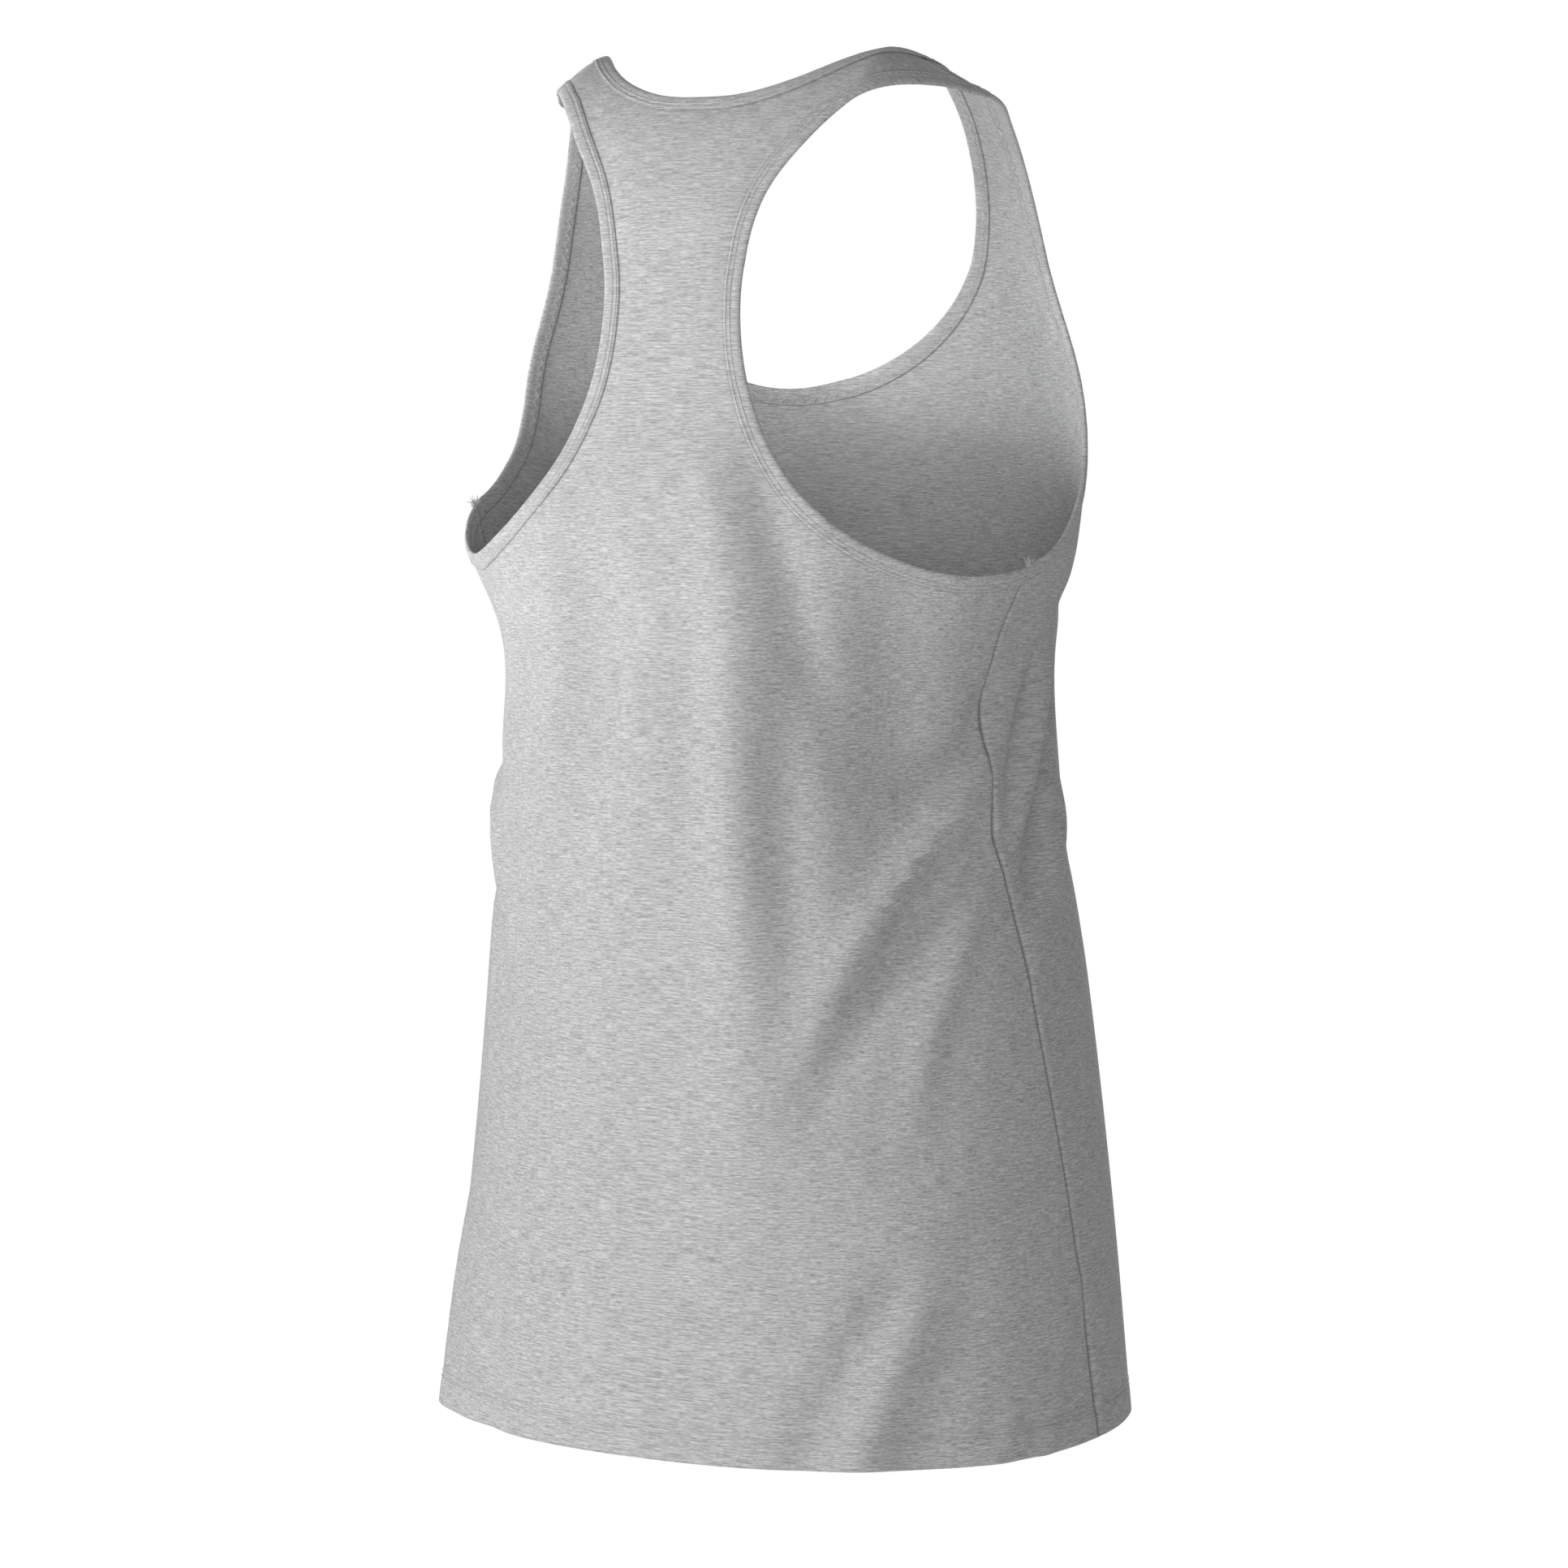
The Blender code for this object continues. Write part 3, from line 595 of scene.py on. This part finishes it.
def panel(name, side, table, look, seed):
    """One cut piece: both halves joined on the centre line up to the neck, then given a wall."""
    middle, face_way, weave, shade, quads = [], [], [], [], []
    joined = None
    for hand in (1, -1):
        places, normals, knit, painted_shade, turned = half_panel(side, table, hand, seed)
        rows, columns = places.shape[:2]
        number = np.arange(rows * columns).reshape(rows, columns) + len(middle)
        shared = turned + int(np.sum(rail_parts(table)[:, 0] <= 1.0))
        if joined is not None:
            number[:shared, 0] = joined[:shared]
        joined = number[:, 0].copy()
        middle += places.reshape(-1, 3).tolist()
        face_way += normals.reshape(-1, 3).tolist()
        weave += knit.reshape(-1, 2).tolist()
        shade += painted_shade.reshape(-1).tolist()
        below, above = number[:-1], number[1:]
        q = np.stack([below[:, :-1], below[:, 1:], above[:, 1:], above[:, :-1]], -1).reshape(-1, 4)
        quads.append(q if hand * side > 0 else q[:, ::-1])
    quads = np.concatenate(quads)
    used, again = np.unique(quads, return_inverse=True)
    quads = again.reshape(quads.shape)
    middle, face_way, weave, shade = (np.array(x)[used] for x in (middle, face_way, weave, shade))
    count = len(middle)
    verts = np.vstack([middle + face_way * WALL / 2, middle - face_way * WALL / 2])
    sides = np.concatenate([quads[:, [k, (k + 1) % 4]] for k in range(4)])
    key = sides.min(1) * count + sides.max(1)
    _, first, times = np.unique(key, return_index=True, return_counts=True)
    rim = sides[first[times == 1]]
    faces = np.concatenate([quads, quads[:, ::-1] + count,
                            np.stack([rim[:, 1], rim[:, 0], rim[:, 0] + count, rim[:, 1] + count], -1)])
    made = piece(name, verts, faces, {"cloth": np.vstack([weave, weave])[faces]}, look)
    # the 'seam' attribute holds the painted shade line along the side and shoulder seams
    line = made.data.attributes.new("seam", "FLOAT", "POINT")
    line.data.foreach_set("value", np.r_[shade, shade].astype(np.float32))
    return made


back = panel("back_panel_cloth", -1, BACK_ROWS, body_jersey, 3)
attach(back, "root")
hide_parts("back_panel")

# ---------------------------------------------------------------- front panel
# The second cut, the same jersey: wide straps and a low scooped neck. It is sewn to the
# back along both sides and both shoulders, and is fullest at the bust.
FRONT_ROWS = np.array([(0, 0.0, 0.0), (11, 0.66, 1.0), (19, 1.0, 1.30), (36, 2.0, 2.0)])
front = panel("front_panel_cloth", 1, FRONT_ROWS, body_jersey, 5)
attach(front, "root")
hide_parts("front_panel")

# ---------------------------------------------------------------- neck binding
# A strip of the same jersey folded over the raw neck edge and twin-needled down.
# The fold is rounded and stands a little proud, and the strip puckers between stitches.
BINDING_WALL = 0.0022
# metres in from the fold, part of half the wall out: outer face, fold, inner face
OUTSIDE = [
    (0.0089, 0.60), (0.0086, 0.84), (0.0079, 1.00), (0.0066, 1.02), (0.0055, 0.96), (0.0043, 1.05),
    (0.0028, 1.14), (0.0014, 1.08), (0.0005, 0.72), (0.0, 0.25), (0.0, -0.25), (0.0005, -0.72),
    (0.0014, -1.08), (0.0028, -1.10), (0.0043, -1.02), (0.0055, -0.96), (0.0066, -1.00),
    (0.0079, -0.98), (0.0086, -0.82), (0.0089, -0.60),
]
# the hollow between the two leaves, where the edge of the panel is held
HOLLOW = [
    (0.0086, -0.50), (0.0062, -0.50), (0.0030, -0.50), (0.0014, -0.40), (0.0009, 0.0),
    (0.0014, 0.40), (0.0030, 0.50), (0.0062, 0.50), (0.0086, 0.50),
]
SECTION = np.array(OUTSIDE + HOLLOW)
BINDING_ROWS = (0.0050, 0.0072)
STITCH_PITCH = 0.0029
EDGE_STOPS = 420            # sections round an armhole, or round half the neck
round_strip = np.r_[0, np.cumsum(np.linalg.norm(np.diff(
    np.vstack([SECTION, SECTION[:1]]) * (1, BINDING_WALL / 2), axis=0), axis=1))]
STRIP_WIDTH = round_strip[len(OUTSIDE) - 1]


def bound_line(points, hand, mirrored, stops):
    """(u, v) places and the way along a bound edge at even stops, the last where the first is."""
    start, close = ends(points)
    t = np.linspace(start, close, stops + 1)
    uv, way = edge(points, t)
    if not mirrored:
        return uv * (hand, 1), way * (hand, 1)
    uv[0, 0] = uv[-1, 0] = 0.0
    uv = np.concatenate([uv, uv[-2::-1] * (-1, 1)])
    way = np.concatenate([way, way[-2:0:-1] * (1, -1), way[:1]])
    return uv, way


def on_edge(uv, way, into, across, hand, mirrored):
    """Places `across` metres in from a bound edge, on whichever hand the edge lies."""
    left = uv[:, 0] >= 0 if mirrored else np.full(len(uv), hand > 0)
    flip = np.where(left, 1, -1)[:, None] * (1, 0) + (0, 1)
    forward = np.where(left, 1, -1)[:, None] if mirrored else 1
    moved = inset(uv * flip, way * flip * forward, into * across)
    if mirrored:
        moved[uv[:, 0] == 0, 0] = 0.0
    return moved * flip


def binding(name, points, into, hand, seed, mirrored=False):
    """Folded strip swept round a closed edge, and how far round it each stop is."""
    uv, way = bound_line(points, hand, mirrored, EDGE_STOPS)
    middle = worn(uv[:, 0], uv[:, 1])
    run = np.r_[0, np.cumsum(np.linalg.norm(np.diff(middle, axis=0), axis=1))]
    rings, knit = [], []
    for across, out in SECTION:
        at = on_edge(uv, way, into, across, hand, mirrored)
        n = outward(at[:, 0], at[:, 1], worn)
        pucker = 1 + 0.05 * scallop(run, STITCH_PITCH, seed) + 0.02 * np.sin(
            2 * np.pi * run / STITCH_PITCH) * (0.0035 < across < 0.008)
        rings.append((worn(at[:, 0], at[:, 1]) + n * (out * BINDING_WALL / 2 * pucker)[:, None])[:-1])
        knit.append(grain(at[:, 0], at[:, 1]))
    rings = np.array(rings).transpose(1, 0, 2)
    knit = np.array(knit + knit[:1])
    turns, corners = rings.shape[:2]
    j, i = np.meshgrid(np.arange(turns), np.arange(corners), indexing="ij")
    k, m = (j + 1) % turns, (i + 1) % corners
    faces = np.stack([j * corners + i, k * corners + i, k * corners + m, j * corners + m], -1)
    faces = faces.reshape(-1, 4)
    corner = ((i, j), (i, j + 1), (i + 1, j + 1), (i + 1, j))
    sewn = np.stack([np.stack([round_strip[x], run[y]], -1) for x, y in corner], 2).reshape(-1, 4, 2)
    weave = np.stack([knit[x, y] for x, y in corner], 2).reshape(-1, 4, 2)
    pitch = run[-1] / int(run[-1] / STITCH_PITCH)
    join = 0.0 if mirrored else 0.5
    look = jersey(f"jersey_{name}", YARN_DARK, YARN_LIGHT, (STRIP_WIDTH, pitch, join))
    return piece(name, rings.reshape(-1, 3), faces, {"cloth": weave, "strip": sewn}, look, 60), run


neck, neck_run = binding("neck_binding_strip", NECK, -1, 1, 11, mirrored=True)
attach(neck, "root")
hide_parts("neck_binding")

# ---------------------------------------------------------------- armhole bindings
# The same folded strip of jersey round each armhole, clamped on the raw edge and
# twin-needled down. Its ends are joined at the underarm, on the side seam.
armholes = {}
for hand, word, seed in ((1, "left", 17), (-1, "right", 23)):
    strip, run = binding(f"armhole_binding_{word}_strip", ARMHOLE, 1, hand, seed)
    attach(strip, "root")
    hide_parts(f"armhole_binding_{word}")
    armholes[word] = (strip, run)

# ---------------------------------------------------------------- twin-needle stitching
# Spun polyester thread, a shade lighter than the cloth. Two straight rows show outside
# and one looper row crosses between them inside, on the hem and on all three bindings.
THREAD = 0.00034


def thread_look(name, colour):
    """Matt twisted thread."""
    made = bpy.data.materials.new(name)
    made.use_nodes = True
    surface = made.node_tree.nodes["Principled BSDF"]
    start = Wire(made.node_tree)
    place = start.node("ShaderNodeTexCoord", 3)
    wear = start.node("ShaderNodeTexNoise", 0, None, {"Vector": place, "Scale": 900.0, "Detail": 2.0})
    dull = tuple(c * 0.86 for c in colour)
    start.node("ShaderNodeMix", 2, {"data_type": "RGBA"}, {
        0: wear, 6: (*dull, 1), 7: (*colour, 1)}).into(surface.inputs["Base Color"])
    start.node("ShaderNodeBump", 0, None, {
        "Height": wear, "Strength": 0.4, "Distance": 0.0001}).into(surface.inputs["Normal"])
    surface.inputs["Roughness"].default_value = 0.7
    surface.inputs["Sheen Weight"].default_value = 0.15
    return made


def stitch_tree():
    """Node tree that lays one bowed stitch at each point, turned along the seam."""
    tree = bpy.data.node_groups.new("stitch_row", "GeometryNodeTree")
    for label, kind in (
            ("Geometry", "Geometry"), ("Thread", "Float"), ("Bow", "Float"), ("Look", "Material")):
        tree.interface.new_socket(label, in_out="INPUT", socket_type=f"NodeSocket{kind}")
    tree.interface.new_socket("Geometry", in_out="OUTPUT", socket_type="NodeSocketGeometry")
    tree_in, tree_out = tree.nodes.new("NodeGroupInput"), tree.nodes.new("NodeGroupOutput")
    source = {s.name: Wire(tree, s) for s in tree_in.outputs if s.name}
    step = Wire(tree)
    bowed = step.node("ShaderNodeCombineXYZ", 0, None, {"Z": source["Bow"]})
    line = step.node("GeometryNodeCurveQuadraticBezier", 0, None, {
        "Resolution": 4, "Start": (-0.5, 0, 0), "Middle": bowed, "End": (0.5, 0, 0)})
    ring = step.node("GeometryNodeCurvePrimitiveCircle", 0, None, {"Resolution": 6, "Radius": 0.5})
    length = step.node("GeometryNodeInputNamedAttribute", 0, {"data_type": "FLOAT"}, {"Name": "length"})
    size = step.node("ShaderNodeCombineXYZ", 0, None, {
        "X": length, "Y": source["Thread"], "Z": source["Thread"]})
    tube = step.node("GeometryNodeCurveToMesh", 0, None, {
        "Curve": line, "Profile Curve": ring, "Fill Caps": True})
    up = step.node("GeometryNodeInputNamedAttribute", 0, {"data_type": "FLOAT_VECTOR"}, {"Name": "up"})
    along = step.node("GeometryNodeInputNamedAttribute", 0, {"data_type": "FLOAT_VECTOR"}, {
        "Name": "along"})
    stood = step.node("FunctionNodeAlignRotationToVector", 0, {"axis": "Z"}, {"Vector": up})
    turned = step.node("FunctionNodeAlignRotationToVector", 0, {"axis": "X", "pivot_axis": "Z"}, {
        "Rotation": stood, "Vector": along})
    laid = step.node("GeometryNodeInstanceOnPoints", 0, None, {
        "Points": source["Geometry"], "Instance": tube, "Rotation": turned, "Scale": size})
    real = step.node("GeometryNodeRealizeInstances", 0, None, {"Geometry": laid})
    smooth = step.node("GeometryNodeSetShadeSmooth", 0, None, {"Geometry": real})
    step.node("GeometryNodeSetMaterial", 0, None, {
        "Geometry": smooth, "Material": source["Look"]}).into(tree_out.inputs["Geometry"])
    return tree


STITCHES = stitch_tree()


def sew(name, places, along, up, length, look, slot, bow=1.1):
    """Stitches laid at the given places, made one plain mesh that rides on the top."""
    mesh = bpy.data.meshes.new(name)
    mesh.from_pydata(places.tolist(), [], [])
    for label, value in (("along", along), ("up", up)):
        held = mesh.attributes.new(label, "FLOAT_VECTOR", "POINT")
        held.data.foreach_set("vector", value.reshape(-1).astype(np.float32))
    held = mesh.attributes.new("length", "FLOAT", "POINT")
    held.data.foreach_set("value", length.astype(np.float32))
    made = bpy.data.objects.new(name, mesh)
    bpy.context.scene.collection.objects.link(made)
    laid = made.modifiers.new("stitches", "NODES")
    laid.node_group = STITCHES
    key = {s.name: s.identifier for s in STITCHES.interface.items_tree if s.in_out == "INPUT"}
    laid[key["Thread"]] = THREAD
    laid[key["Bow"]] = bow
    laid[key["Look"]] = look
    seen = made.evaluated_get(bpy.context.evaluated_depsgraph_get())
    plain = bpy.data.meshes.new_from_object(seen)
    made.modifiers.clear()
    made.data = plain
    for label in ("along", "up", "length"):
        if label in plain.attributes:
            plain.attributes.remove(plain.attributes[label])
    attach(made, "root")
    return made


def row_points(lines, lift, pitch, cross, run, seed):
    """Evenly spaced stitches down the middle of two (u, v) lines; cross lays them slantwise."""
    rng = np.random.default_rng(seed)
    first, second = (worn(uv[:, 0], uv[:, 1]) + outward(uv[:, 0], uv[:, 1], worn) * lift for uv in lines)
    middle = (first + second) / 2
    if run is None:
        run = np.r_[0, np.cumsum(np.linalg.norm(np.diff(middle, axis=0), axis=1))]
    count = max(int(run[-1] / pitch), 2)
    stops = np.linspace(0, run[-1], count + 1)

    def at(line):
        return np.column_stack([np.interp(stops, run, line[:, k]) for k in range(3)])

    a, b = at(first), at(second)
    start, end = a[:-1], b[1:]
    if cross:
        odd = (np.arange(count) % 2)[:, None]
        start, end = np.where(odd, a[:-1], b[:-1]), np.where(odd, b[1:], a[1:])
    along = end - start
    length = np.linalg.norm(along, axis=1)
    cloth_up = (outward(lines[0][:, 0], lines[0][:, 1], worn)) * np.sign(lift)
    up = at(cloth_up)[:-1]
    share = 1.0 if cross else 0.78 + 0.08 * rng.standard_normal(count)
    jitter = rng.normal(0, 0.00004, (count, 3))
    return (start + end) / 2 + jitter, along / length[:, None], up, length * share


thread = thread_look("grey_thread", (0.66, 0.66, 0.67))


def sew_rows(name, runs, slot, seed):
    """Join several runs of stitches, each (lines, lift, pitch, cross, run), in one piece."""
    found = [row_points(*run, seed + k) for k, run in enumerate(runs)]
    return sew(name, *(np.concatenate(part) for part in zip(*found)), thread, slot)


# the hem rows, each panel's own, straight rows outside and the looper row inside
HEM_FACE, HEM_BACK = 0.00060, -0.00205      # threads lie this far off the middle of the cloth
for cloth, word, side, flat, area in (
        (back, "back", -1, (0.518, 0.716), 0.209), (front, "front", 1, (0.513, 0.728), 0.269)):
    reach = side_turn(np.array([0.014 - LENGTH]), side)[0] - 0.6
    u = np.linspace(-reach, reach, 900)
    rise = [0.0012 * np.exp(-((reach - np.abs(u)) / 7.0)) + row for row in HEM_ROWS]
    lines = [np.column_stack([u, (LENGTH - r) * side]) for r in rise]
    rows = sew_rows(f"hem_stitching_{word}", [
        ((lines[0], lines[0]), HEM_FACE, HEM_STITCH_PITCH, False, None),
        ((lines[1], lines[1]), HEM_FACE, HEM_STITCH_PITCH, False, None),
        ((lines[0], lines[1]), HEM_BACK, HEM_STITCH_PITCH, True, None)], f"{word}_panel", 31)


def strip_stitching(name, points, into, hand, slot, mirrored, run, seed):
    """Two rows outside and the looper row inside one binding."""
    uv, way = bound_line(points, hand, mirrored, EDGE_STOPS)
    rows = [on_edge(uv, way, into, across, hand, mirrored) for across in BINDING_ROWS]
    face = BINDING_WALL / 2
    return sew_rows(name, [
        ((rows[0], rows[0]), face * 1.02, STITCH_PITCH, False, run),
        ((rows[1], rows[1]), face * 1.03, STITCH_PITCH, False, run),
        ((rows[0], rows[1]), -face * 1.03, STITCH_PITCH, True, run)], slot, seed)


neck_rows = strip_stitching("neck_stitching", NECK, -1, 1, "neck_binding", True, neck_run, 41)
for hand, word, seed in ((1, "left", 43), (-1, "right", 47)):
    strip_stitching(f"armhole_stitching_{word}", ARMHOLE, 1, hand,
                                         f"armhole_binding_{word}", False, armholes[word][1], seed)

# ---------------------------------------------------------------- underarm joins
# The ends of each armhole strip meet on the side seam. The overlocked seam stands up past
# the fold there as a small frayed tuft, and a short bar of stitches holds the join flat.
for hand, word, seed, length in ((1, "left", 53, 0.677), (-1, "right", 59, 0.698)):
    rng = np.random.default_rng(seed)
    seam_at = np.array([[86.0, -UNDERARM]])
    across = np.array([[0.0, 0.0004], [0.0, 0.0030], [0.0, 0.0056], [0.0, 0.0082]])
    level_here = np.repeat(seam_at, len(across), axis=0) * (hand, 1) - across
    bar_up = outward(level_here[:, 0], level_here[:, 1], worn)
    bar = worn(level_here[:, 0], level_here[:, 1]) + bar_up * BINDING_WALL / 2 * 1.05
    bar_way = np.gradient(bar, axis=0)
    bar_way /= np.linalg.norm(bar_way, axis=1, keepdims=True)
    root = worn(seam_at[:, 0] * hand, seam_at[:, 1])[0]
    strands = 22
    lean = rng.normal(0, 0.30, (strands, 3)) + (0, 0, 1)
    lean /= np.linalg.norm(lean, axis=1, keepdims=True)
    reach = rng.uniform(0.0016, 0.0038, strands)
    foot = root + rng.normal(0, 1, (strands, 3)) * (0.0007, 0.0014, 0.0003)
    tuft = foot + lean * (reach * 0.42)[:, None]
    tuft_up = np.cross(lean, rng.normal(0, 1, (strands, 3)))
    tuft_up /= np.linalg.norm(tuft_up, axis=1, keepdims=True)
    join = sew(f"underarm_join_{word}", np.vstack([bar, tuft]), np.vstack([bar_way, lean]),
               np.vstack([bar_up, tuft_up]), np.r_[np.full(len(bar), 0.0026), reach], thread,
               f"armhole_binding_{word}")

# ---------------------------------------------------------------- room
# A pale floor well below the hem and a white surround that lights the top weakly. The key
# stands behind on the wearer's left, with a low fill on the right, a high one in front and
# a narrow beam on the right strap.
FLOOR_HEIGHT, FLOOR_RADIUS, FLOOR_SIDES = -1.4, 2.0, 96
turns = np.linspace(0, 2 * math.pi, FLOOR_SIDES, endpoint=False)
floor_mesh = bpy.data.meshes.new("floor")
floor_rim = [(FLOOR_RADIUS * math.cos(a), FLOOR_RADIUS * math.sin(a), FLOOR_HEIGHT) for a in turns]
floor_mesh.from_pydata(floor_rim, [], [tuple(range(FLOOR_SIDES))])
floor_look = bpy.data.materials.new("pale_floor")
floor_look.use_nodes = True
floor_surface = floor_look.node_tree.nodes["Principled BSDF"]
floor_surface.inputs["Base Color"].default_value = (0.82, 0.82, 0.82, 1)
floor_surface.inputs["Roughness"].default_value = 0.8
floor_mesh.materials.append(floor_look)
floor = bpy.data.objects.new("floor", floor_mesh)
bpy.context.scene.collection.objects.link(floor)

SURROUND = 0.27
world = bpy.data.worlds.new("surround")
world.use_nodes = True
sky = world.node_tree
shown, cast = sky.nodes["Background"], sky.nodes.new("ShaderNodeBackground")
shown.inputs["Color"].default_value = (1, 1, 1, 1)
shown.inputs["Strength"].default_value = 1.0
cast.inputs["Color"].default_value = (0.98, 0.99, 1, 1)
cast.inputs["Strength"].default_value = SURROUND
ray, pick = sky.nodes.new("ShaderNodeLightPath"), sky.nodes.new("ShaderNodeMixShader")
sky.links.new(ray.outputs["Is Camera Ray"], pick.inputs[0])
sky.links.new(cast.outputs[0], pick.inputs[1])
sky.links.new(shown.outputs[0], pick.inputs[2])
sky.links.new(pick.outputs[0], sky.nodes["World Output"].inputs[0])
bpy.context.scene.world = world
bpy.context.scene.view_settings.view_transform = "Standard"


def soft_light(name, turn, height, distance, size, watts, aim=(0, 0, -0.34), spread=180):
    """Square soft light; turn is degrees from straight behind, positive to the wearer's left."""
    data = bpy.data.lights.new(name, "AREA")
    data.shape = "SQUARE"
    data.size = size
    data.energy = watts
    data.spread = math.radians(spread)
    made = bpy.data.objects.new(name, data)
    a = math.radians(turn)
    made.location = Vector((math.sin(a) * distance, math.cos(a) * distance, height))
    made.rotation_euler = (Vector(aim) - made.location).to_track_quat("-Z", "Y").to_euler()
    bpy.context.scene.collection.objects.link(made)


soft_light("key", 36, -0.25, 1.8, 0.9, 19)
soft_light("strap_light", 72, -0.30, 1.8, 0.5, 0.38, (-0.09, -0.08, -0.06), 16)
soft_light("right_fill", -25, -0.40, 2.0, 0.8, 9)
soft_light("front_fill", 165, 0.7, 2.6, 1.0, 32)

VIEW_TURN, VIEW_RISE, VIEW_DISTANCE = -30, 5, 2.4
VIEW_LEVEL, VIEW_AIM = -0.345, Vector((-0.0130, -0.0075, -0.353))
camera = bpy.data.objects.new("camera", bpy.data.cameras.new("camera"))
bpy.context.scene.collection.objects.link(camera)
a, e = math.radians(VIEW_TURN), math.radians(VIEW_RISE)
towards = Vector((math.sin(a) * math.cos(e), math.cos(a) * math.cos(e), math.sin(e)))
camera.location = towards * VIEW_DISTANCE
camera.location.z += VIEW_LEVEL
camera.rotation_euler = (VIEW_AIM - camera.location).to_track_quat("-Z", "Y").to_euler()
camera.data.sensor_width = 36.0
camera.data.lens = 113.0
bpy.context.scene.camera = camera

bpy.context.view_layer.update()
